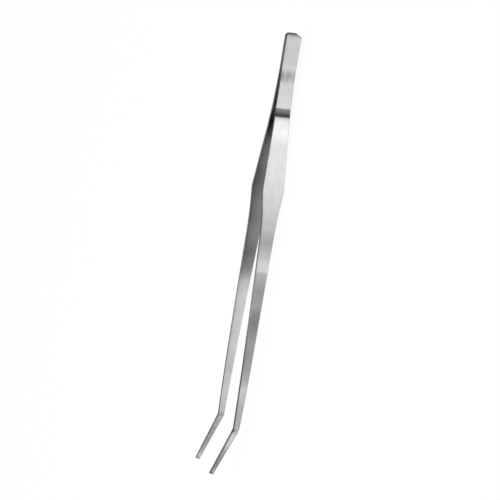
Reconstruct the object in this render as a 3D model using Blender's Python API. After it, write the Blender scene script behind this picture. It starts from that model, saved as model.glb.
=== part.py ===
"""Aquascaping tweezers: two sprung stainless blades welded together at the butt.

X runs from the butt to the tips. Y is the direction in which the blades open, and the tool is
symmetric about Y = 0. Z is up, across the width of the blades. The tool lies on its edges with
its angled jaws pointing up, and the origin is under the middle of its length.

Each blade is one strip of sheet. Its flexing is carried by a hinge across the strip, so the
blade is built as a welded butt and a moving arm, cut apart at the hinge line.
"""

import math

import bmesh
import bpy
from mathutils import Matrix, Vector

# Driving dimensions, in millimetres. The meshes are in metres.
METRES = 0.001
OVERALL_LENGTH = 270.0
BLADE_THICKNESS = 1.5
SEAM_GAP = 0.3
HINGE_ALONG = 53.0
HINGE_GAP = 0.3
EDGE_RADIUS = 0.25
BUTT_HALF_WIDTH = 4.8
BUTT_ROUND_OVER = 1.0
TIP_CORNER_RADIUS = 0.8
TIP_HALF_WIDTH = 1.46
TIP_BACK_RADIUS = 0.95
MOST_ROUND = 0.8

# The jaws: an edgewise bend in each blade, then a slender end with cross teeth inside.
JAW_BEND_ALONG = 240.5
JAW_BEND_RADIUS = 5.0
JAW_ANGLE = math.radians(21.1)
TOOTH_START = 247.0
TOOTH_PITCH = 0.7
TOOTH_DEPTH = 0.08
TOOTH_END_MARGIN = 1.5

# Spot welds between the butts.
WELD_ALONG = (7.5, 17.0)
WELD_RADIUS = 2.25
WELD_HEIGHT = 0.7
WELD_EDGE = 0.15
WELD_CLEARANCE = 0.3
WELD_SEGMENTS = 40

# Smoothness of rounded stretches, and the rounding allowed when a distance is looked up.
BEND_STEPS = 5
EDGE_STEPS = 2
CLOSEST_SECTIONS = 0.04
SHARP_ANGLE = math.radians(35)
SLACK = 0.001

# Side profile: distance along the blade, distance of its outer face from Y = 0, bend radius.
# The blades lie together, part, step outwards at a joggle, spread, and bow back at the tips.
OUTER_FACE_CORNERS = (
    (0.0, SEAM_GAP / 2 + BLADE_THICKNESS, 0.0),
    (20.0, SEAM_GAP / 2 + BLADE_THICKNESS, 60.0),
    (44.3, 3.05, 3.0),
    (47.0, 3.42, 35.0),
    (49.1, 3.86, 2.0),
    (109.0, 10.58, 120.0),
    (135.0, 11.92, 800.0),
    (165.0, 13.1, 800.0),
    (215.0, 14.5, 1000.0),
    (280.0, 13.2, 0.0),
)

# Plan outline: distance along the blade, half width, corner radius. The butt is rounded off at
# its upper corner and cut back at its lower one. Both edges then follow the same line: a
# swelling grip, a long taper and a slender jaw.
UPPER_BUTT_CORNERS = ((0.0, 0.0, 0.0), (0.0, BUTT_HALF_WIDTH, 2.5))
LOWER_BUTT_CORNERS = ((0.0, 0.0, 0.0), (0.0, 1.0, 1.0), (1.7, BUTT_HALF_WIDTH, 1.5))
ARM_CORNERS = (
    (30.0, 4.6, 100.0),
    (56.0, 5.1, 60.0),
    (93.5, 6.85, 15.0),
    (108.0, 5.0, 60.0),
    (120.0, 4.4, 200.0),
    (240.0, 1.98, 20.0),
    (250.0, 1.81, 60.0),
)

# Steel colours, as linear RGB, one for each sub-part.
FRONT_STEEL = (0.62, 0.62, 0.63)
REAR_STEEL = (0.56, 0.56, 0.57)
FRONT_ARM_STEEL = (0.60, 0.60, 0.61)
REAR_ARM_STEEL = (0.54, 0.54, 0.55)
WELD_STEEL = (0.42, 0.41, 0.41)
BLADE_ROUGHNESS = 0.3
WELD_ROUGHNESS = 0.5


def jaw_bend_half_length():
    """Distance from the corner of the jaw bend to either end of its arc."""
    return JAW_BEND_RADIUS * math.tan(JAW_ANGLE / 2)


def blade_end_along():
    """Length along the bent blade at which its furthest corner reaches OVERALL_LENGTH."""
    lean = math.sin(JAW_ANGLE) * (TIP_HALF_WIDTH - TIP_CORNER_RADIUS)
    corner_along = OVERALL_LENGTH - TIP_CORNER_RADIUS - lean
    straight = (corner_along - JAW_BEND_ALONG) / math.cos(JAW_ANGLE)
    bend_saving = 2 * jaw_bend_half_length() - JAW_BEND_RADIUS * JAW_ANGLE
    return JAW_BEND_ALONG + straight - bend_saving + TIP_CORNER_RADIUS


BLADE_END = blade_end_along()


class Chain:
    """Straight runs joined by arcs, described by corners of (along, height, radius)."""

    def __init__(self, corners):
        self.arcs = []
        ends = [Vector(corners[0][:2])]
        for before, corner, after in zip(corners, corners[1:], corners[2:]):
            point = Vector(corner[:2])
            back = (Vector(before[:2]) - point).normalized()
            forward = (Vector(after[:2]) - point).normalized()
            half_angle = back.angle(forward) / 2
            reach = corner[2] / math.tan(half_angle)
            centre = point + (back + forward).normalized() * corner[2] / math.sin(half_angle)
            first = point + back * reach
            last = point + forward * reach
            self.arcs.append((centre, first, last, corner[2]))
            ends += [first, last]
        ends.append(Vector(corners[-1][:2]))
        self.straights = list(zip(ends[::2], ends[1::2]))

    def stations(self):
        """Distances along at which the arcs need a cross-section."""
        stations = set()
        for centre, first, last, _ in self.arcs:
            turn = (first - centre).angle_signed(last - centre)
            for step in range(BEND_STEPS + 1):
                spoke = Matrix.Rotation(-turn * step / BEND_STEPS, 2) @ (first - centre)
                stations.add(round(centre.x + spoke.x, 4))
        return stations

    def at(self, along):
        """Height and slope at one distance along."""
        for centre, first, last, radius in self.arcs:
            if first.x - SLACK <= along <= last.x + SLACK:
                across = along - centre.x
                side = math.copysign(1.0, (first.y + last.y) / 2 - centre.y)
                height = side * math.sqrt(max(radius * radius - across * across, 0.0))
                slope = -across / height if height else 0.0
                return centre.y + height, slope
        for first, last in self.straights:
            if first.x <= along <= last.x and last.x > first.x:
                slope = (last.y - first.y) / (last.x - first.x)
                return first.y + slope * (along - first.x), slope
        raise ValueError(f"the chain has no height at {along}")


OUTER_FACE = Chain(OUTER_FACE_CORNERS)


TIP_CORNERS = ((BLADE_END, TIP_HALF_WIDTH, TIP_CORNER_RADIUS), (BLADE_END, 0.0, 0.0))
UPPER_EDGE = Chain(UPPER_BUTT_CORNERS + ARM_CORNERS + TIP_CORNERS)
LOWER_EDGE = Chain(LOWER_BUTT_CORNERS + ARM_CORNERS + TIP_CORNERS)

# Height of the blades' centre line: their widest section stands on Z = 0.
AXIS_HEIGHT = max(LOWER_EDGE.at(along)[0] for along in LOWER_EDGE.stations())


def plan_frame(along):
    """Place and heading of the blade's centre line, which is straight up to the jaw bend."""
    start = JAW_BEND_ALONG - jaw_bend_half_length()
    heading = min(max((along - start) / JAW_BEND_RADIUS, 0.0), JAW_ANGLE)
    beyond = max(along - start - JAW_BEND_RADIUS * JAW_ANGLE, 0.0)
    x = min(along, start) + JAW_BEND_RADIUS * math.sin(heading) + beyond * math.cos(heading)
    z = JAW_BEND_RADIUS * (1 - math.cos(heading)) + beyond * math.sin(heading)
    return x, z, heading


def tooth_stations():
    """Crests and roots of the cross teeth, as pairs of distance along and depth."""
    count = int((BLADE_END - TOOTH_END_MARGIN - TOOTH_START) / TOOTH_PITCH)
    stations = {}
    for tooth in range(count):
        crest = TOOTH_START + tooth * TOOTH_PITCH
        stations[round(crest, 4)] = 0.0
        stations[round(crest + TOOTH_PITCH / 2, 4)] = TOOTH_DEPTH
    stations[round(TOOTH_START + count * TOOTH_PITCH, 4)] = 0.0
    return stations


def tooth_depth(along, teeth):
    """Depth of the tooth gaps at one distance along, straight between crests and roots."""
    places = sorted(teeth)
    if not places[0] <= along <= places[-1]:
        return 0.0
    for low, high in zip(places, places[1:]):
        if low <= along <= high:
            share = (along - low) / (high - low)
            return teeth[low] + share * (teeth[high] - teeth[low])
    return 0.0


def back_radius(along):
    """Radius of the outer edges, which grows along the jaws until their back is round."""
    share = (along - JAW_BEND_ALONG) / (BLADE_END - JAW_BEND_ALONG)
    return EDGE_RADIUS + (TIP_BACK_RADIUS - EDGE_RADIUS) * min(max(share, 0.0), 1.0)


def round_over(distance, radius):
    """How far a face drops at a distance from an end that is rounded over."""
    if distance >= radius:
        return 0.0
    return radius - math.sqrt(radius**2 - (radius - distance) ** 2)


def section_points(upper, lower, top, bottom, outer_radius, inner_radius):
    """A rounded rectangle of points (across, depth), depth running inwards from the outer face."""
    corners = (
        (upper - outer_radius, top + outer_radius, outer_radius, 90),
        (upper - inner_radius, bottom - inner_radius, inner_radius, 0),
        (inner_radius - lower, bottom - inner_radius, inner_radius, 270),
        (outer_radius - lower, top + outer_radius, outer_radius, 180),
    )
    points = []
    for across, depth, radius, start in corners:
        for step in range(EDGE_STEPS + 1):
            angle = math.radians(start - 90 * step / EDGE_STEPS)
            points.append((across + radius * math.cos(angle), depth - radius * math.sin(angle)))
    return points


def blade_section(along, teeth):
    """The cross-section of a blade at one distance along it."""
    upper = UPPER_EDGE.at(along)[0]
    lower = LOWER_EDGE.at(along)[0]
    tip_drop = round_over(BLADE_END - along, EDGE_RADIUS)
    top = round_over(along, BUTT_ROUND_OVER) + tip_drop
    bottom = BLADE_THICKNESS - tooth_depth(along, teeth) - tip_drop
    widest_radius = min(upper, lower, bottom - top) * MOST_ROUND
    return section_points(
        upper, lower, top, bottom, min(back_radius(along), widest_radius), EDGE_RADIUS / 2
    )


def blade_ring(along, side, teeth):
    """One cross-section of a blade in the tool; side is +1 at the front, -1 at the rear."""
    offset, slope = OUTER_FACE.at(along)
    x, z, heading = plan_frame(along)
    tilt = math.atan(slope)
    ring = []
    for across, depth in blade_section(along, teeth):
        shift = depth * math.sin(tilt)
        point_x = x - across * math.sin(heading) + shift * math.cos(heading)
        point_y = offset - depth * math.cos(tilt)
        point_z = z + across * math.cos(heading) + shift * math.sin(heading)
        ring.append(tool_point(point_x, side * point_y, point_z))
    return ring


def tool_point(along, opening, height):
    """A point of the tool in metres, measured from the origin under the middle of its length."""
    return Vector((along - OVERALL_LENGTH / 2, opening, height + AXIS_HEIGHT)) * METRES


def blade_stations(first, last, teeth):
    """Every distance along a stretch of blade that needs a cross-section."""
    bend_start = JAW_BEND_ALONG - jaw_bend_half_length()
    bend = {
        round(bend_start + JAW_BEND_RADIUS * JAW_ANGLE * step / BEND_STEPS, 4)
        for step in range(BEND_STEPS + 1)
    }
    ends = set()
    for step in range(1, BEND_STEPS + 1):
        reach = 1 - math.cos(math.radians(90 * step / BEND_STEPS))
        ends |= {round(BUTT_ROUND_OVER * reach, 4), round(BLADE_END - EDGE_RADIUS * reach, 4)}
    chains = OUTER_FACE.stations() | UPPER_EDGE.stations() | LOWER_EDGE.stations()
    wanted = chains | bend | ends | set(teeth)
    inner = [along for along in sorted(wanted) if first < along < last]
    stations = [first]
    for along in inner + [last]:
        if along - stations[-1] > CLOSEST_SECTIONS:
            stations.append(along)
    stations[-1] = last
    return stations


def steel(name, colour, roughness):
    """A plain metal material."""
    material = bpy.data.materials.new(name)
    material.use_nodes = True
    shader = material.node_tree.nodes["Principled BSDF"]
    shader.inputs["Base Color"].default_value = (*colour, 1.0)
    shader.inputs["Metallic"].default_value = 1.0
    shader.inputs["Roughness"].default_value = roughness
    return material


def add_object(name, mesh_builder, origin, material):
    """Put a bmesh into the scene as an object whose origin is at the given point."""
    bmesh.ops.translate(mesh_builder, verts=mesh_builder.verts, vec=-origin)
    bmesh.ops.recalc_face_normals(mesh_builder, faces=mesh_builder.faces)
    mesh = bpy.data.meshes.new(name)
    mesh_builder.to_mesh(mesh)
    mesh_builder.free()
    mesh.shade_smooth()
    mesh.set_sharp_from_angle(angle=SHARP_ANGLE)
    mesh.materials.append(material)
    item = bpy.data.objects.new(name, mesh)
    item.location = origin
    bpy.context.scene.collection.objects.link(item)
    return item


def add_blade_stretch(name, side, first, last, origin, material):
    """Skin the cross-sections of one stretch of blade and close its two ends."""
    teeth = tooth_stations()
    builder = bmesh.new()
    rings = []
    for along in blade_stations(first, last, teeth):
        rings.append([builder.verts.new(point) for point in blade_ring(along, side, teeth)])
    for near, far in zip(rings, rings[1:]):
        for index, vertex in enumerate(near):
            after = (index + 1) % len(near)
            builder.faces.new((vertex, near[after], far[after], far[index]))
    builder.faces.new(rings[0])
    builder.faces.new(rings[-1])
    return add_object(name, builder, origin, material)


def weld_disc(name, along, clearance, material):
    """A flat round disc across the seam between the butts, grown by a clearance all round."""
    builder = bmesh.new()
    bmesh.ops.create_cone(
        builder,
        cap_ends=True,
        segments=WELD_SEGMENTS,
        radius1=(WELD_RADIUS + clearance) * METRES,
        radius2=(WELD_RADIUS + clearance) * METRES,
        depth=(WELD_HEIGHT + 2 * clearance) * METRES,
    )
    caps = [face for face in builder.faces if len(face.verts) == WELD_SEGMENTS]
    rims = list({rim for cap in caps for rim in cap.edges})
    bmesh.ops.bevel(builder, geom=rims, offset=WELD_EDGE * METRES, segments=1, affect="EDGES")
    centre = tool_point(along, 0.0, 0.0)
    bmesh.ops.rotate(builder, verts=builder.verts, matrix=Matrix.Rotation(math.radians(90), 3, "X"))
    bmesh.ops.translate(builder, verts=builder.verts, vec=centre)
    return add_object(name, builder, centre, material)


def add_spot_welds():
    """The weld nuggets that hold the two butts together."""
    material = steel("weld_steel", WELD_STEEL, WELD_ROUGHNESS)
    for number, along in enumerate(WELD_ALONG, start=1):
        weld_disc(f"spot_weld_{number}", along, 0.0, material)


def cut_weld_pocket(butt, cutter):
    """Sink one weld's pocket into a butt."""
    cut = butt.modifiers.new(f"{cutter.name}_cut", "BOOLEAN")
    cut.operation = "DIFFERENCE"
    cut.solver = "EXACT"
    cut.object = cutter


def add_weld_pockets(butts):
    """Sink a pocket for each weld into the inner faces of both butts."""
    material = steel("pocket_guide", WELD_STEEL, WELD_ROUGHNESS)
    for number, along in enumerate(WELD_ALONG, start=1):
        cutter = weld_disc(f"weld_pocket_{number}", along, WELD_CLEARANCE, material)
        cutter.hide_render = True
        cutter.display_type = "WIRE"
        for butt in butts:
            cut_weld_pocket(butt, cutter)


def hinge_point(side):
    """Where a blade's hinge line crosses its sheet: halfway through its thickness."""
    offset, slope = OUTER_FACE.at(HINGE_ALONG)
    depth = BLADE_THICKNESS / 2
    tilt = math.atan(slope)
    return tool_point(HINGE_ALONG + depth * math.sin(tilt), side * (offset - depth * math.cos(tilt)), 0.0)


def add_butt(name, side, colour):
    """The welded end of one blade, up to its hinge line."""
    material = steel(f"{name}_steel", colour, BLADE_ROUGHNESS)
    return add_blade_stretch(
        name, side, 0.0, HINGE_ALONG - HINGE_GAP / 2, tool_point(0.0, 0.0, 0.0), material
    )


def add_arm(name, side, colour):
    """The moving arm of one blade with its grip and jaw; its origin is on its hinge line."""
    material = steel(f"{name}_steel", colour, BLADE_ROUGHNESS)
    return add_blade_stretch(
        name, side, HINGE_ALONG + HINGE_GAP / 2, BLADE_END, hinge_point(side), material
    )


def main():
    for item in list(bpy.data.objects):
        bpy.data.objects.remove(item)
    butts = (add_butt("front_butt", 1, FRONT_STEEL), add_butt("rear_butt", -1, REAR_STEEL))
    add_weld_pockets(butts)
    add_spot_welds()
    add_arm("front_arm", 1, FRONT_ARM_STEEL)
    add_arm("rear_arm", -1, REAR_ARM_STEEL)


main()
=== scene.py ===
"""The finished look of the aquascaping tweezers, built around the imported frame.

Each blade is one unbroken strip of brushed stainless steel that bends where the frame has its
hinge. X runs from the butt to the tips, Y is the way the blades open and Z is up.
"""

import math

import bmesh
import bpy
from mathutils import Matrix, Vector


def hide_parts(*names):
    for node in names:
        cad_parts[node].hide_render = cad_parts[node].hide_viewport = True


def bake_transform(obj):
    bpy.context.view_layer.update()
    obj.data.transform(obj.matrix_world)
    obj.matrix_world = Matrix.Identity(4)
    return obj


# Driving dimensions of a blade, in millimetres. The meshes are in metres.
METRES = 0.001
OVERALL_LENGTH = 270.0
BLADE_THICKNESS = 1.5
SEAM_GAP = 0.3
BUTT_HALF_WIDTH = 4.8
BUTT_ROUND_OVER = 1.1
BUTT_RIM_END = 6.0
TIP_HALF_WIDTH = 1.46
TIP_CORNER_RADIUS = 0.8
TIP_ROUND_OVER = 0.7
TIP_INNER_ROUND_OVER = 0.28

# Rounding of the long edges: (distance along the blade, radius). They are crisp at the butt and
# the grip, soften along the taper and make the back of each jaw round. The outer roundings take
# at most MOST_ROUND of their room, and LEAST_WALL stays flat between them and the inner ones.
LEAST_EDGE_RADIUS = 0.14
MOST_ROUND = 0.8
LEAST_WALL = 0.02
OUTER_ROUNDING = ((0.0, 0.28), (115.0, 0.28), (160.0, 0.42), (240.0, 0.45), (270.0, 0.95))
INNER_ROUNDING = ((0.0, LEAST_EDGE_RADIUS), (235.0, LEAST_EDGE_RADIUS), (250.0, 0.4), (270.0, 0.5))

# The jaws: an edgewise bend, then a slender end with cross teeth on its inner face.
JAW_BEND_ALONG = 240.5
JAW_BEND_RADIUS = 5.0
JAW_ANGLE = math.radians(21.1)
TOOTH_START = 247.0
TOOTH_PITCH = 0.7
TOOTH_DEPTH = 0.08
TOOTH_END_MARGIN = 1.5

# Side profile: distance along the blade, distance of its outer face from Y = 0, bend radius.
OUTER_FACE_CORNERS = (
    (0.0, SEAM_GAP / 2 + BLADE_THICKNESS, 0.0),
    (20.0, SEAM_GAP / 2 + BLADE_THICKNESS, 60.0),
    (44.3, 3.05, 3.0),
    (47.0, 3.42, 35.0),
    (49.1, 3.86, 2.0),
    (109.0, 10.58, 120.0),
    (135.0, 11.92, 800.0),
    (165.0, 13.1, 800.0),
    (215.0, 14.5, 1000.0),
    (280.0, 13.2, 0.0),
)

# Plan outline: distance along the blade, half width, corner radius. The butt is rounded off at
# its upper corner and cut back at its lower one. Both edges then follow the same line: a
# swelling grip, a long taper and a slender jaw.
UPPER_BUTT_CORNERS = ((0.0, 0.0, 0.0), (0.0, BUTT_HALF_WIDTH, 2.5))
LOWER_BUTT_CORNERS = ((0.0, 0.0, 0.0), (0.0, 1.0, 1.0), (1.7, BUTT_HALF_WIDTH, 1.5))
ARM_CORNERS = (
    (30.0, 4.6, 100.0),
    (56.0, 5.1, 60.0),
    (93.5, 6.85, 15.0),
    (108.0, 5.0, 60.0),
    (120.0, 4.4, 200.0),
    (240.0, 1.98, 20.0),
    (250.0, 1.81, 60.0),
)

# Fineness of the meshes. A station is a distance along the blade that has a cross-section.
STATION_STEP = 1.0
STATION_DECIMALS = 4
LEAST_STATION_GAP = 0.005
BEND_STEPS = 8
EDGE_STEPS = 5
FACE_STEPS = 6
TOOTH_STEPS = 4
END_STEPS = 5
SLACK = 0.001
QUARTER_TURN = 90
SHARP_ANGLE = math.radians(40)

# The surfaces of a blade, in the order of its materials.
SURFACES = ("outer", "inner", "edge")

# The camera stands above and on the front blade's side, a little behind the butt, and is turned
# so that the tool hangs with its butt at the top of the picture.
CAMERA_PLACE = Vector((-0.18813, 0.80697, 0.36426))
CAMERA_TARGET = Vector((-0.00343, 0.0, 0.01127))
CAMERA_UP = Vector((-0.9652, -0.2518, 0.0705))
CAMERA_LENS = 108.14
CAMERA_SENSOR = 36.0
CAMERA_SHIFT = (-0.0007, 0.0009)

FLOOR_SIZE = 6.0
FLOOR_DROP = 0.0004
FLOOR_GLOW = 0.92
FLOOR_GREY = 0.1
WORLD_GLOW = 0.97

# Brushing: noise frequencies per metre (along, across, through), the noise's detail, and its
# share of the brushing. STREAK_SPAN is the noise that turns into the darkest to lightest streaks,
# and BRUSHING_SPREAD is how far reflections spread across the brushing.
BROAD_STREAKS = (14.0, 700.0, 700.0)
BROAD_DETAIL = 3.0
BROAD_SHARE = 0.6
FINE_STREAKS = (60.0, 4500.0, 4500.0)
FINE_DETAIL = 2.0
FINE_SHARE = 0.4
STREAK_SPAN = (0.3, 0.7)
STREAK_SHADES = (0.90, 1.07)
ROUGHNESS_SWING = (0.9, 1.1)
BRUSHING_SPREAD = 0.9
BRUSHING_DEPTH = 0.00001
BRUSHING_BUMP = 0.25
# The brushing grows from faint to full over this stretch of the blade.
BRUSHING_GROWTH = (60.0, 150.0)
LEAST_BRUSHING = 0.5
# The first bend carries a patch of coarser brushing: start, middle and end along the blade.
COARSE_PATCH = (19.5, 25.0, 31.0)
COARSE_STREAKS = (90.0, 900.0, 900.0)
COARSE_DETAIL = 6.0
COARSE_SPAN = (0.35, 0.65)
COARSE_SHADES = (0.74, 1.12)
# Thin scratches, slightly askew of the brushing.
SCRATCHES = (90.0, 2500.0, 2500.0)
SCRATCH_DETAIL = 1.0
SCRATCH_TURN = math.radians(9.0)
SCRATCH_SPAN = (0.70, 0.76)
SCRATCH_SHADE = 0.9
# Faint uneven blotches.
BLOTCH_SCALE = 220.0
BLOTCH_DETAIL = 3.0
BLOTCH_SPAN = (0.35, 0.65)
BLOTCH_SHADES = (0.96, 1.03)
FACE_ROUGHNESS = 0.28
EDGE_ROUGHNESS = 0.32
# The painted shade in the jaw bend's inner corner: its place along, across and into the blade,
# its core, its reach and its tone.
BEND_SHADE_PLACE = (241.7, 1.5, 0.1)
BEND_SHADE_CORE = 0.3
BEND_SHADE_REACH = 1.8
BEND_SHADE_TONE = 0.38

# The welds' metal: mottled greys and roughness.
MOTTLE_SCALE = 900.0
MOTTLE_DETAIL = 4.0
MOTTLE_SPAN = (0.3, 0.7)
MOTTLE_GREYS = (0.25, 0.45)
MOTTLE_ROUGHNESS = (0.45, 0.65)

# Brightness of the studio below the horizon: (how far the direction points along X, glow). It
# is a pale sweep with a narrow dark flag towards the butt and soft darker gaps elsewhere.
SWEEP = (
    (-1.0, 1.0),
    (-0.56, 0.80),
    (-0.46, 0.30),
    (-0.38, 0.08),
    (-0.26, 0.08),
    (-0.18, 0.25),
    (-0.11, 1.5),
    (0.0, 1.2),
    (0.08, 1.02),
    (0.14, 0.75),
    (0.20, 0.68),
    (0.27, 0.95),
    (0.32, 0.90),
    (0.38, 0.50),
    (0.46, 0.32),
    (0.50, 0.40),
    (0.57, 0.80),
    (1.0, 1.0),
)
# Above the horizon it is dark low down and dim overhead: spans of upward direction, and glows.
HORIZON_SPAN = (-0.05, 0.08)
SKY_SPAN = (0.3, 0.9)
SKY_GLOW = (0.12, 0.32)
# The floor right under the tool is in its shade.
UNDERSIDE_SPAN = (-0.95, -0.65)
UNDERSIDE_GLOW = (0.35, 1.0)

# Soft boxes: (name, place, size, power). They only cast the floor's faint shadow, because the
# steel reflects the studio instead.
SOFTBOXES = (
    ("key_softbox", (-0.3, 0.4, 1.3), 1.2, 10.0),
    ("fill_softbox", (0.5, -0.5, 1.1), 1.2, 5.0),
)

# Greys along each surface: (distance along the blade, grey). They hold the steel's own tone with
# painted reflections of a studio and painted shade, so these bands stay put in any other light.
OUTER_GREYS_WITH_PAINTED_REFLECTIONS = (
    # The rounded rim, with a painted dark reflection, and the flat of the butt.
    (0.0, 0.12),
    (0.7, 0.20),
    (1.2, 0.38),
    (3.0, 0.66),
    # The soft bend.
    (20.5, 0.66),
    (22.5, 0.51),
    (24.5, 0.40),
    (26.5, 0.43),
    (30.0, 0.60),
    # The joggle, with painted dark reflections in its bends.
    (43.8, 0.69),
    (45.0, 0.23),
    (46.0, 0.25),
    (47.6, 0.29),
    (49.2, 0.19),
    (50.0, 0.60),
    # The grip.
    (52.0, 0.80),
    (59.0, 0.87),
    (67.0, 0.70),
    (75.0, 0.71),
    (90.0, 0.67),
    (106.0, 0.57),
    # The start of the taper, and a light patch that ends sharply.
    (115.0, 0.64),
    (120.0, 0.51),
    (124.0, 0.46),
    (131.0, 0.63),
    (136.0, 0.84),
    (141.2, 0.88),
    (142.4, 0.60),
    # The long taper.
    (154.0, 0.44),
    (163.0, 0.49),
    (168.0, 0.35),
    (172.0, 0.31),
    (186.0, 0.46),
    (192.0, 0.42),
    (200.0, 0.43),
    (205.0, 0.49),
    (208.5, 0.53),
    (214.0, 0.75),
    (221.0, 0.70),
    (225.0, 0.60),
    (232.0, 0.61),
    # The jaw bend, the jaw and its tip.
    (240.0, 0.66),
    (242.5, 0.78),
    (246.0, 1.0),
    (250.5, 1.0),
    (256.0, 0.62),
    (262.0, 0.44),
    (266.0, 0.44),
    (269.5, 0.70),
    (271.2, 0.45),
)
INNER_GREYS_WITH_PAINTED_SHADE_AND_REFLECTIONS = (
    # Inside the butt, and the shade where the blades part.
    (0.0, 0.60),
    (42.0, 0.50),
    (53.0, 0.11),
    (58.0, 0.21),
    (62.0, 0.36),
    # The grip.
    (68.0, 0.52),
    (76.0, 0.54),
    (82.0, 0.46),
    (90.0, 0.39),
    (96.0, 0.36),
    (104.0, 0.41),
    # The taper, dark with painted shade and then light with a painted reflection.
    (110.0, 0.32),
    (114.0, 0.29),
    (126.0, 0.32),
    (131.0, 0.25),
    (135.0, 0.225),
    (144.0, 0.30),
    (148.0, 0.41),
    (153.0, 0.65),
    (162.0, 0.82),
    (168.0, 0.76),
    (196.0, 0.81),
    (208.0, 0.67),
    (226.0, 0.77),
    (237.0, 0.70),
    # The jaw bend, the jaw and its tip.
    (240.3, 0.45),
    (242.0, 0.63),
    (244.0, 0.50),
    (247.0, 0.57),
    (250.0, 0.46),
    (262.0, 0.45),
    (265.0, 0.50),
    (268.0, 0.74),
    (269.5, 0.74),
    (270.5, 0.60),
)
# The front blade's edges: greys with painted reflections, and painted shade in the jaw bend's
# inner corner at 240.5.
FRONT_EDGE_GREYS_WITH_PAINTED_LIGHT = (
    (0.0, 0.16),
    (1.0, 0.30),
    (2.5, 0.45),
    (4.0, 0.62),
    (18.0, 0.62),
    (26.0, 0.42),
    (38.0, 0.28),
    (52.0, 0.25),
    (58.0, 0.40),
    (66.0, 0.68),
    (100.0, 0.62),
    (122.0, 0.60),
    (140.0, 0.85),
    (168.0, 0.95),
    (180.0, 0.65),
    (200.0, 0.42),
    (220.0, 0.48),
    (239.0, 0.46),
    (240.5, 0.35),
    (243.0, 0.55),
    (269.8, 0.58),
    (270.9, 0.25),
)
# The rear blade's edges: greys with painted reflections, and the same painted shade at 240.5.
REAR_EDGE_GREYS_WITH_PAINTED_LIGHT = (
    (0.0, 0.60),
    (30.0, 0.70),
    (42.0, 0.95),
    (58.0, 0.95),
    (70.0, 0.75),
    (100.0, 0.72),
    (122.0, 0.88),
    (140.0, 1.0),
    (168.0, 1.0),
    (192.0, 0.62),
    (222.0, 0.46),
    (239.0, 0.50),
    (240.5, 0.35),
    (243.0, 0.40),
    (269.8, 0.48),
    (270.9, 0.25),
)


def jaw_bend_half_length():
    """Distance from the corner of the jaw bend to either end of its arc."""
    return JAW_BEND_RADIUS * math.tan(JAW_ANGLE / 2)


def blade_end_along():
    """Length along the bent blade at which its furthest corner reaches OVERALL_LENGTH."""
    lean = math.sin(JAW_ANGLE) * (TIP_HALF_WIDTH - TIP_CORNER_RADIUS)
    corner_along = OVERALL_LENGTH - TIP_CORNER_RADIUS - lean
    straight = (corner_along - JAW_BEND_ALONG) / math.cos(JAW_ANGLE)
    bend_saving = 2 * jaw_bend_half_length() - JAW_BEND_RADIUS * JAW_ANGLE
    return JAW_BEND_ALONG + straight - bend_saving + TIP_CORNER_RADIUS


BLADE_END = blade_end_along()


class Chain:
    """Straight runs joined by arcs, described by corners of (along, height, radius)."""

    def __init__(self, corners):
        self.arcs = []
        ends = [Vector(corners[0][:2])]
        for before, corner, after in zip(corners, corners[1:], corners[2:]):
            point = Vector(corner[:2])
            back = (Vector(before[:2]) - point).normalized()
            forward = (Vector(after[:2]) - point).normalized()
            half_angle = back.angle(forward) / 2
            reach = corner[2] / math.tan(half_angle)
            centre = point + (back + forward).normalized() * corner[2] / math.sin(half_angle)
            first = point + back * reach
            last = point + forward * reach
            self.arcs.append((centre, first, last, corner[2]))
            ends += [first, last]
        ends.append(Vector(corners[-1][:2]))
        self.straights = list(zip(ends[::2], ends[1::2]))

    def stations(self):
        """Distances along at which the arcs need a cross-section."""
        stations = set()
        for centre, first, last, _ in self.arcs:
            turn = (first - centre).angle_signed(last - centre)
            for step in range(BEND_STEPS + 1):
                spoke = Matrix.Rotation(-turn * step / BEND_STEPS, 2) @ (first - centre)
                stations.add(round(centre.x + spoke.x, STATION_DECIMALS))
        return stations

    def at(self, along):
        """Height and slope at one distance along."""
        for centre, first, last, radius in self.arcs:
            if first.x - SLACK <= along <= last.x + SLACK:
                across = along - centre.x
                side = math.copysign(1.0, (first.y + last.y) / 2 - centre.y)
                height = side * math.sqrt(max(radius * radius - across * across, 0.0))
                slope = -across / height if height else 0.0
                return centre.y + height, slope
        for first, last in self.straights:
            if first.x <= along <= last.x and last.x > first.x:
                slope = (last.y - first.y) / (last.x - first.x)
                return first.y + slope * (along - first.x), slope
        raise ValueError(f"the chain has no height at {along}")


OUTER_FACE = Chain(OUTER_FACE_CORNERS)
TIP_CORNERS = ((BLADE_END, TIP_HALF_WIDTH, TIP_CORNER_RADIUS), (BLADE_END, 0.0, 0.0))
UPPER_EDGE = Chain(UPPER_BUTT_CORNERS + ARM_CORNERS + TIP_CORNERS)
LOWER_EDGE = Chain(LOWER_BUTT_CORNERS + ARM_CORNERS + TIP_CORNERS)

# Height of the blades' centre line: their widest section stands on Z = 0.
AXIS_HEIGHT = max(LOWER_EDGE.at(along)[0] for along in LOWER_EDGE.stations())


def tool_point(along, opening, height):
    """A point of the tool in metres, measured from the origin under the middle of its length."""
    return Vector((along - OVERALL_LENGTH / 2, opening, height + AXIS_HEIGHT)) * METRES


def plan_frame(along):
    """Place and heading of the blade's centre line, which is straight up to the jaw bend."""
    start = JAW_BEND_ALONG - jaw_bend_half_length()
    heading = min(max((along - start) / JAW_BEND_RADIUS, 0.0), JAW_ANGLE)
    beyond = max(along - start - JAW_BEND_RADIUS * JAW_ANGLE, 0.0)
    x = min(along, start) + JAW_BEND_RADIUS * math.sin(heading) + beyond * math.cos(heading)
    z = JAW_BEND_RADIUS * (1 - math.cos(heading)) + beyond * math.sin(heading)
    return x, z, heading


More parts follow.
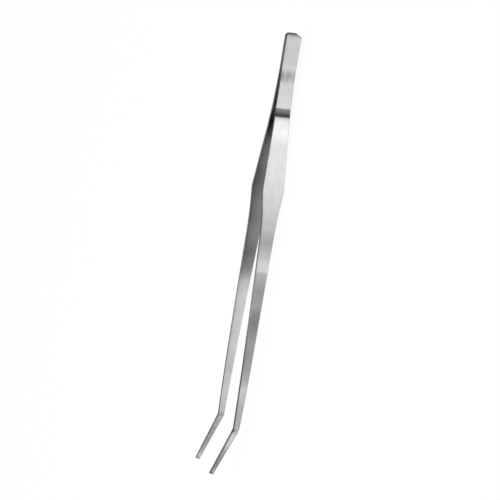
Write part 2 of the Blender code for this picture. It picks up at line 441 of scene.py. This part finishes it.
def tooth_depth(along):
    """Depth of the tooth gaps: rounded waves across the inner face of the jaw."""
    run = along - TOOTH_START
    count = int((BLADE_END - TOOTH_END_MARGIN - TOOTH_START) / TOOTH_PITCH)
    if not 0 < run < count * TOOTH_PITCH:
        return 0.0
    return TOOTH_DEPTH * math.sin(math.pi * run / TOOTH_PITCH) ** 2


def between(stops, along):
    """The value at one distance along, straight between the stops on either side."""
    for (near, first), (far, second) in zip(stops, stops[1:]):
        if near <= along <= far:
            return first + (second - first) * (along - near) / (far - near)
    return stops[-1][1]


def edge_radii(along):
    """Radii of a section's edges: outer upper, outer lower and both inner ones."""
    outer = between(OUTER_ROUNDING, along)
    rim = max(1.0 - along / BUTT_RIM_END, 0.0) * (BUTT_ROUND_OVER - outer)
    return outer, outer + rim, between(INNER_ROUNDING, along)


def round_over(distance, radius):
    """How far a face drops at a distance from an end that is rounded over."""
    if distance >= radius:
        return 0.0
    return radius - math.sqrt(radius**2 - (radius - distance) ** 2)


def section_points(upper, lower, top, bottom, upper_radius, lower_radius, inner_radius):
    """A rounded rectangle of (across, depth, surface) points; depth runs in from the outer face.

    It goes round from the upper outer edge by way of the inner face. Each corner is an arc from
    a starting angle in degrees, and each point names the surface that follows it.
    """
    corners = (
        (upper - upper_radius, top + upper_radius, upper_radius, 90, "edge"),
        (upper - inner_radius, bottom - inner_radius, inner_radius, 0, "inner"),
        (inner_radius - lower, bottom - inner_radius, inner_radius, 270, "edge"),
        (lower_radius - lower, top + lower_radius, lower_radius, 180, "outer"),
    )
    points = []
    for across, depth, radius, start, following in corners:
        for step in range(EDGE_STEPS + 1):
            angle = math.radians(start - QUARTER_TURN * step / EDGE_STEPS)
            surface = following if step == EDGE_STEPS else "edge"
            point = (across + radius * math.cos(angle), depth - radius * math.sin(angle))
            points.append((*point, surface))
    return points


def fill_faces(section):
    """Add evenly spaced points across the two broad faces of a section."""
    filled = []
    for point, after in zip(section, section[1:] + section[:1]):
        filled.append(point)
        if point[2] == "edge":
            continue
        for step in range(1, FACE_STEPS):
            share = step / FACE_STEPS
            across = point[0] + (after[0] - point[0]) * share
            depth = point[1] + (after[1] - point[1]) * share
            filled.append((across, depth, point[2]))
    return filled


def blade_section(along):
    """The cross-section of a blade at one distance along it."""
    upper = UPPER_EDGE.at(along)[0]
    lower = LOWER_EDGE.at(along)[0]
    to_tip = BLADE_END - along
    top = round_over(along, BUTT_ROUND_OVER) + round_over(to_tip, TIP_ROUND_OVER)
    bottom = BLADE_THICKNESS - tooth_depth(along) - round_over(to_tip, TIP_INNER_ROUND_OVER)
    roundest = MOST_ROUND * min(upper, lower, bottom - top - LEAST_EDGE_RADIUS)
    upper_radius, lower_radius, inner_radius = edge_radii(along)
    upper_radius = min(upper_radius, roundest)
    lower_radius = min(lower_radius, roundest)
    inner_radius = min(inner_radius, bottom - top - max(upper_radius, lower_radius) - LEAST_WALL)
    return fill_faces(
        section_points(upper, lower, top, bottom, upper_radius, lower_radius, inner_radius)
    )


def blade_stations():
    """Every distance along a blade that needs a cross-section."""
    steps = int(BLADE_END / STATION_STEP)
    wanted = {round(BLADE_END * step / steps, STATION_DECIMALS) for step in range(steps + 1)}
    wanted |= OUTER_FACE.stations() | UPPER_EDGE.stations() | LOWER_EDGE.stations()
    bend_start = JAW_BEND_ALONG - jaw_bend_half_length()
    for step in range(BEND_STEPS + 1):
        bent = JAW_BEND_RADIUS * JAW_ANGLE * step / BEND_STEPS
        wanted.add(round(bend_start + bent, STATION_DECIMALS))
    for step in range(END_STEPS + 1):
        reach = 1 - math.cos(math.radians(QUARTER_TURN * step / END_STEPS))
        wanted.add(round(BUTT_ROUND_OVER * reach, STATION_DECIMALS))
        wanted.add(round(BLADE_END - TIP_ROUND_OVER * reach, STATION_DECIMALS))
    tooth = TOOTH_START
    while tooth < BLADE_END - TOOTH_END_MARGIN:
        for step in range(TOOTH_STEPS):
            wanted.add(round(tooth + TOOTH_PITCH * step / TOOTH_STEPS, STATION_DECIMALS))
        tooth += TOOTH_PITCH
    stations = [0.0]
    for along in sorted(wanted):
        if along - stations[-1] > LEAST_STATION_GAP and along < BLADE_END:
            stations.append(along)
    return stations + [BLADE_END]


def place_point(along, across, depth, side):
    """A point of a blade, given along, across and into the sheet, in the frame's metres."""
    offset, slope = OUTER_FACE.at(along)
    x, z, heading = plan_frame(along)
    tilt = math.atan(slope)
    point_x = x - across * math.sin(heading) + depth * math.sin(tilt) * math.cos(heading)
    point_y = offset - depth * math.cos(tilt)
    point_z = z + across * math.cos(heading) + depth * math.sin(tilt) * math.sin(heading)
    return tool_point(point_x, side * point_y, point_z)


def brushing_unwrap(spot, capped):
    """Texture coordinates whose first axis runs across the brushing, for its reflections."""
    if capped:
        return spot.y, spot.z
    return spot.y + math.copysign(spot.z, spot.y), spot.x


def add_ring(builder, place, along, side):
    """The vertices of one cross-section, each with its place along, across and into the sheet."""
    ring = []
    for across, depth, _ in blade_section(along):
        vertex = builder.verts.new(place_point(along, across, depth, side))
        vertex[place] = Vector((along, across, depth)) * METRES
        ring.append(vertex)
    return ring


def skin_rings(builder, rings):
    """Join the rings with faces, each with its surface's material, and cap both ends."""
    surfaces = [SURFACES.index(surface) for _, _, surface in blade_section(0.0)]
    for near, far in zip(rings, rings[1:]):
        for index, vertex in enumerate(near):
            after = (index + 1) % len(near)
            face = builder.faces.new((vertex, near[after], far[after], far[index]))
            face.material_index = surfaces[index]
    caps = [builder.faces.new(ring) for ring in (rings[0], rings[-1])]
    for cap in caps:
        cap.material_index = SURFACES.index("edge")
    bmesh.ops.recalc_face_normals(builder, faces=builder.faces)
    return caps


def blade_mesh(name, side):
    """One blade as a skin over its sections, with its own lengthwise coordinates."""
    builder = bmesh.new()
    place = builder.verts.layers.float_vector.new("blade_place")
    unwrap = builder.loops.layers.uv.new("blade_unwrap")
    rings = [add_ring(builder, place, along, side) for along in blade_stations()]
    caps = skin_rings(builder, rings)
    for face in builder.faces:
        face.smooth = True
        for loop in face.loops:
            loop[unwrap].uv = brushing_unwrap(loop.vert[place] / METRES, face in caps)
    mesh = bpy.data.meshes.new(name)
    builder.to_mesh(mesh)
    builder.free()
    mesh.set_sharp_from_angle(angle=SHARP_ANGLE)
    return mesh


class Nodes:
    """Short helpers for building a material's node tree."""

    def __init__(self, tree):
        self.tree = tree

    def new(self, kind, **settings):
        node = self.tree.nodes.new(kind)
        for key, value in settings.items():
            setattr(node, key, value)
        return node

    def link(self, source, target):
        self.tree.links.new(source, target)

    def feed(self, target, value):
        """Link a socket, or set a plain value."""
        if isinstance(value, bpy.types.NodeSocket):
            self.link(value, target)
        else:
            target.default_value = value

    def math(self, operation, first, second):
        node = self.new("ShaderNodeMath", operation=operation)
        self.feed(node.inputs[0], first)
        self.feed(node.inputs[1], second)
        return node.outputs[0]

    def parts(self, vector):
        """The X, Y and Z of a vector."""
        node = self.new("ShaderNodeSeparateXYZ")
        self.link(vector, node.inputs[0])
        return node.outputs

    def noise(self, vector, scale, detail):
        node = self.new("ShaderNodeTexNoise")
        self.link(vector, node.inputs["Vector"])
        node.inputs["Scale"].default_value = scale
        node.inputs["Detail"].default_value = detail
        return node.outputs["Fac"]

    def streaks(self, vector, stretch, detail):
        """Noise with its own frequency along each axis."""
        return self.noise(self.stretched(vector, stretch), 1.0, detail)

    def stretched(self, vector, stretch):
        node = self.new("ShaderNodeVectorMath", operation="MULTIPLY")
        self.link(vector, node.inputs[0])
        node.inputs[1].default_value = stretch
        return node.outputs[0]

    def remap(self, value, span, result):
        """Ease a value from one span onto another, level beyond both ends."""
        node = self.new("ShaderNodeMapRange", interpolation_type="SMOOTHSTEP")
        self.feed(node.inputs["Value"], value)
        node.inputs["From Min"].default_value = span[0]
        node.inputs["From Max"].default_value = span[1]
        node.inputs["To Min"].default_value = result[0]
        node.inputs["To Max"].default_value = result[1]
        return node.outputs["Result"]

    def multiply(self, colour, shade):
        node = self.new("ShaderNodeMix", data_type="RGBA", blend_type="MULTIPLY")
        node.inputs["Factor"].default_value = 1.0
        self.link(colour, node.inputs["A"])
        self.link(shade, node.inputs["B"])
        return node.outputs["Result"]

    def mix(self, factor, first, second):
        node = self.new("ShaderNodeMix", data_type="FLOAT")
        self.feed(node.inputs["Factor"], factor)
        self.feed(node.inputs["A"], first)
        self.feed(node.inputs["B"], second)
        return node.outputs["Result"]

    def ramp(self, value, stops):
        """A grey ramp through (position, grey) stops."""
        node = self.new("ShaderNodeValToRGB")
        node.color_ramp.interpolation = "LINEAR"
        elements = node.color_ramp.elements
        while len(elements) < len(stops):
            elements.new(1.0)
        for element, (position, grey) in zip(elements, stops):
            element.position = position
            element.color = (grey, grey, grey, 1.0)
        self.feed(node.inputs["Fac"], value)
        return node.outputs["Color"]


def blade_place(nodes):
    """Distance along, across and into the sheet, in metres."""
    return nodes.new("ShaderNodeAttribute", attribute_name="blade_place").outputs["Vector"]


def brushing(nodes, place):
    """Fine and broad lengthwise streaks, from 0 to 1."""
    broad = nodes.streaks(place, BROAD_STREAKS, BROAD_DETAIL)
    fine = nodes.streaks(place, FINE_STREAKS, FINE_DETAIL)
    broad_share = nodes.math("MULTIPLY", broad, BROAD_SHARE)
    return nodes.math("ADD", broad_share, nodes.math("MULTIPLY", fine, FINE_SHARE))


def hairlines(nodes, place):
    """A few thin scratches that run slightly askew of the brushing: 1 on a scratch."""
    turned = nodes.new("ShaderNodeVectorRotate", rotation_type="AXIS_ANGLE")
    turned.inputs["Axis"].default_value = (0.0, 0.0, 1.0)
    turned.inputs["Angle"].default_value = SCRATCH_TURN
    nodes.link(place, turned.inputs["Vector"])
    lines = nodes.streaks(turned.outputs[0], SCRATCHES, SCRATCH_DETAIL)
    return nodes.remap(lines, SCRATCH_SPAN, (0.0, 1.0))


def painted_bend_shade(nodes, place):
    """Painted shade in the inner corner of the jaw bend: below 1 in the shade."""
    away = nodes.new("ShaderNodeVectorMath", operation="DISTANCE")
    nodes.link(place, away.inputs[0])
    away.inputs[1].default_value = Vector(BEND_SHADE_PLACE) * METRES
    span = (BEND_SHADE_CORE * METRES, BEND_SHADE_REACH * METRES)
    return nodes.remap(away.outputs["Value"], span, (BEND_SHADE_TONE, 1.0))


def lengthwise_tone_with_painted_light(nodes, along, greys_with_painted_light):
    """The greys along a blade with painted light, as one ramp for each half of it to keep them
    sharp.
    """
    halves = []
    for start, end in ((0.0, BLADE_END / 2), (BLADE_END / 2, BLADE_END)):
        inside = [(at, grey) for at, grey in greys_with_painted_light if start < at < end]
        stops = [(start, between(greys_with_painted_light, start)), *inside, (end, between(greys_with_painted_light, end))]
        length = (end - start) * METRES
        share = nodes.math("DIVIDE", nodes.math("SUBTRACT", along, start * METRES), length)
        positions = [((at - start) / (end - start), grey) for at, grey in stops]
        halves.append(nodes.ramp(share, positions))
    second_half = nodes.math("GREATER_THAN", along, BLADE_END / 2 * METRES)
    return nodes.mix(second_half, *halves)


def texture_strength(nodes, along):
    """Strength of the brushing: faint on the butt, full on the arms."""
    growth = [at * METRES for at in BRUSHING_GROWTH]
    return nodes.remap(along, growth, (LEAST_BRUSHING, 1.0))


def coarse_patch(nodes, along):
    """Strength of the coarser brushing: 1 in the middle of its patch, 0 outside it."""
    start, middle, end = (at * METRES for at in COARSE_PATCH)
    rise = nodes.remap(along, (start, middle), (0.0, 1.0))
    fall = nodes.remap(along, (middle, end), (1.0, 0.0))
    return nodes.math("MULTIPLY", rise, fall)


def steel_grey_with_painted_light(nodes, place, greys_with_painted_light, streak):
    """The steel's grey: a lengthwise tone with painted light, streaks, faint blotches and thin
    scratches.
    """
    along = nodes.parts(place)["X"]
    # The lengthwise tone carries painted reflections and painted shade.
    tone = lengthwise_tone_with_painted_light(nodes, along, greys_with_painted_light)
    brushed = nodes.remap(streak, STREAK_SPAN, STREAK_SHADES)
    brushed = nodes.mix(texture_strength(nodes, along), 1.0, brushed)
    coarse = nodes.streaks(place, COARSE_STREAKS, COARSE_DETAIL)
    coarse = nodes.remap(coarse, COARSE_SPAN, COARSE_SHADES)
    coarse = nodes.mix(coarse_patch(nodes, along), 1.0, coarse)
    blotches = nodes.noise(place, BLOTCH_SCALE, BLOTCH_DETAIL)
    blotches = nodes.remap(blotches, BLOTCH_SPAN, BLOTCH_SHADES)
    scratches = nodes.remap(hairlines(nodes, place), (0.0, 1.0), (1.0, SCRATCH_SHADE))
    shade = nodes.math("MULTIPLY", brushed, coarse)
    # The last layer is painted shade in the inner corner of the jaw bend.
    for layer in (blotches, scratches, painted_bend_shade(nodes, place)):
        shade = nodes.math("MULTIPLY", shade, layer)
    return nodes.multiply(tone, shade)


def steel(name, greys_with_painted_light, roughness):
    """Brushed stainless: streaks along the blade over a soft lengthwise change of tone and painted
    light.
    """
    material = bpy.data.materials.new(name)
    material.use_nodes = True
    nodes = Nodes(material.node_tree)
    shader = material.node_tree.nodes["Principled BSDF"]
    place = blade_place(nodes)
    streak = brushing(nodes, place)
    nodes.link(steel_grey_with_painted_light(nodes, place, greys_with_painted_light, streak), shader.inputs["Base Color"])
    swing = [roughness * share for share in ROUGHNESS_SWING]
    nodes.link(nodes.remap(streak, STREAK_SPAN, swing), shader.inputs["Roughness"])
    shader.inputs["Metallic"].default_value = 1.0
    shader.inputs["Anisotropic"].default_value = BRUSHING_SPREAD
    tangent = nodes.new("ShaderNodeTangent", direction_type="UV_MAP", uv_map="blade_unwrap")
    nodes.link(tangent.outputs[0], shader.inputs["Tangent"])
    bump = nodes.new("ShaderNodeBump")
    bump.inputs["Strength"].default_value = BRUSHING_BUMP
    bump.inputs["Distance"].default_value = BRUSHING_DEPTH
    nodes.link(streak, bump.inputs["Height"])
    nodes.link(bump.outputs[0], shader.inputs["Normal"])
    return material


def add_blade(name, side, nodes, edge_greys_with_painted_light):
    """A whole blade that stands for a butt and an arm of the frame and bends at their hinge."""
    blade = bpy.data.objects.new(name, blade_mesh(name, side))
    bpy.context.scene.collection.objects.link(blade)
    # The surfaces' greys carry painted reflections and painted shade.
    blade.data.materials.append(steel(f"{name}_outer", OUTER_GREYS_WITH_PAINTED_REFLECTIONS, FACE_ROUGHNESS))
    blade.data.materials.append(steel(f"{name}_inner", INNER_GREYS_WITH_PAINTED_SHADE_AND_REFLECTIONS, FACE_ROUGHNESS))
    blade.data.materials.append(steel(f"{name}_edge", edge_greys_with_painted_light, EDGE_ROUGHNESS))
    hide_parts(*nodes)
    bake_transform(blade)
    return blade


def weld_steel():
    """Dull, mottled metal that has been melted."""
    material = bpy.data.materials.new("fused_steel")
    material.use_nodes = True
    nodes = Nodes(material.node_tree)
    shader = material.node_tree.nodes["Principled BSDF"]
    place = nodes.new("ShaderNodeTexCoord").outputs["Object"]
    mottle = nodes.noise(place, MOTTLE_SCALE, MOTTLE_DETAIL)
    greys = nodes.ramp(mottle, list(zip(MOTTLE_SPAN, MOTTLE_GREYS)))
    nodes.link(greys, shader.inputs["Base Color"])
    roughness = nodes.remap(mottle, MOTTLE_SPAN, MOTTLE_ROUGHNESS)
    nodes.link(roughness, shader.inputs["Roughness"])
    shader.inputs["Metallic"].default_value = 1.0
    return material


def dress_welds(nodes):
    """Give the frame's spot welds their own metal."""
    material = weld_steel()
    for name in ("spot_weld_1", "spot_weld_2"):
        weld = nodes[name]
        weld.data.materials.clear()
        weld.data.materials.append(material)


def studio_glow(nodes, direction):
    """Brightness of the studio in a direction, as the steel reflects it."""
    parts = nodes.parts(direction)
    position = nodes.math("DIVIDE", nodes.math("ADD", parts["X"], 1.0), 2.0)
    sweep = nodes.ramp(position, [((at + 1) / 2, glow) for at, glow in SWEEP])
    shade = nodes.remap(parts["Z"], UNDERSIDE_SPAN, UNDERSIDE_GLOW)
    below = nodes.math("MULTIPLY", sweep, shade)
    sky = nodes.remap(parts["Z"], SKY_SPAN, SKY_GLOW)
    above = nodes.remap(parts["Z"], HORIZON_SPAN, (0.0, 1.0))
    return nodes.mix(above, below, sky)


def camera_or(nodes, seen, reflected):
    """One value for what the camera sees directly, another for everything else."""
    camera_ray = nodes.new("ShaderNodeLightPath").outputs["Is Camera Ray"]
    return nodes.mix(camera_ray, reflected, seen)


def add_floor():
    """A plain pale floor that glows like the studio round it and takes a faint shadow."""
    mesh = bpy.data.meshes.new("floor")
    builder = bmesh.new()
    bmesh.ops.create_grid(builder, x_segments=1, y_segments=1, size=FLOOR_SIZE / 2)
    builder.to_mesh(mesh)
    builder.free()
    floor = bpy.data.objects.new("floor", mesh)
    floor.location.z = -FLOOR_DROP
    bpy.context.scene.collection.objects.link(floor)
    material = bpy.data.materials.new("pale_floor")
    material.use_nodes = True
    nodes = Nodes(material.node_tree)
    shader = material.node_tree.nodes["Principled BSDF"]
    incoming = nodes.new("ShaderNodeNewGeometry").outputs["Incoming"]
    glow = studio_glow(nodes, nodes.stretched(incoming, (-1.0, -1.0, -1.0)))
    shader.inputs["Base Color"].default_value = (FLOOR_GREY, FLOOR_GREY, FLOOR_GREY, 1.0)
    shader.inputs["Roughness"].default_value = 1.0
    shader.inputs["Specular IOR Level"].default_value = 0.0
    shader.inputs["Emission Color"].default_value = (1.0, 1.0, 1.0, 1.0)
    nodes.link(camera_or(nodes, FLOOR_GLOW, glow), shader.inputs["Emission Strength"])
    mesh.materials.append(material)


def add_world():
    """The pale room round the floor."""
    world = bpy.data.worlds.new("pale_room")
    bpy.context.scene.world = world
    world.use_nodes = True
    nodes = Nodes(world.node_tree)
    direction = nodes.new("ShaderNodeTexCoord").outputs["Generated"]
    glow = camera_or(nodes, WORLD_GLOW, studio_glow(nodes, direction))
    nodes.link(glow, world.node_tree.nodes["Background"].inputs["Color"])


def add_area_light(name, place, size, power):
    """A soft square light that faces the tool and doesn't show in its reflections."""
    data = bpy.data.lights.new(name, "AREA")
    data.size = size
    data.energy = power
    light = bpy.data.objects.new(name, data)
    light.location = place
    light.rotation_mode = "QUATERNION"
    light.rotation_quaternion = (-Vector(place)).to_track_quat("-Z", "Y")
    light.visible_glossy = False
    bpy.context.scene.collection.objects.link(light)


def add_camera():
    """The main viewpoint."""
    data = bpy.data.cameras.new("camera")
    data.lens = CAMERA_LENS
    data.sensor_width = CAMERA_SENSOR
    data.shift_x, data.shift_y = CAMERA_SHIFT
    camera = bpy.data.objects.new("camera", data)
    back = (CAMERA_PLACE - CAMERA_TARGET).normalized()
    right = CAMERA_UP.cross(back).normalized()
    up = back.cross(right)
    turn = Matrix((right, up, back)).transposed()
    camera.matrix_world = Matrix.Translation(CAMERA_PLACE) @ turn.to_4x4()
    bpy.context.scene.collection.objects.link(camera)
    bpy.context.scene.camera = camera


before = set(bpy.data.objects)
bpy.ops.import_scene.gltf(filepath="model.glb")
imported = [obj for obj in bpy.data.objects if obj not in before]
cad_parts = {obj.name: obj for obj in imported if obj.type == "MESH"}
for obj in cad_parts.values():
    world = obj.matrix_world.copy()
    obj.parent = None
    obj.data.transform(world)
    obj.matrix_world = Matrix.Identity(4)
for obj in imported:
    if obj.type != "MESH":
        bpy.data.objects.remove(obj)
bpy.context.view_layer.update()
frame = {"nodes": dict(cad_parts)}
bpy.context.scene.view_settings.view_transform = "Standard"
add_blade("front_blade", 1, ("front_butt", "front_arm"), FRONT_EDGE_GREYS_WITH_PAINTED_LIGHT)
add_blade("rear_blade", -1, ("rear_butt", "rear_arm"), REAR_EDGE_GREYS_WITH_PAINTED_LIGHT)
dress_welds(frame["nodes"])
add_floor()
add_world()
for softbox in SOFTBOXES:
    add_area_light(*softbox)
add_camera()
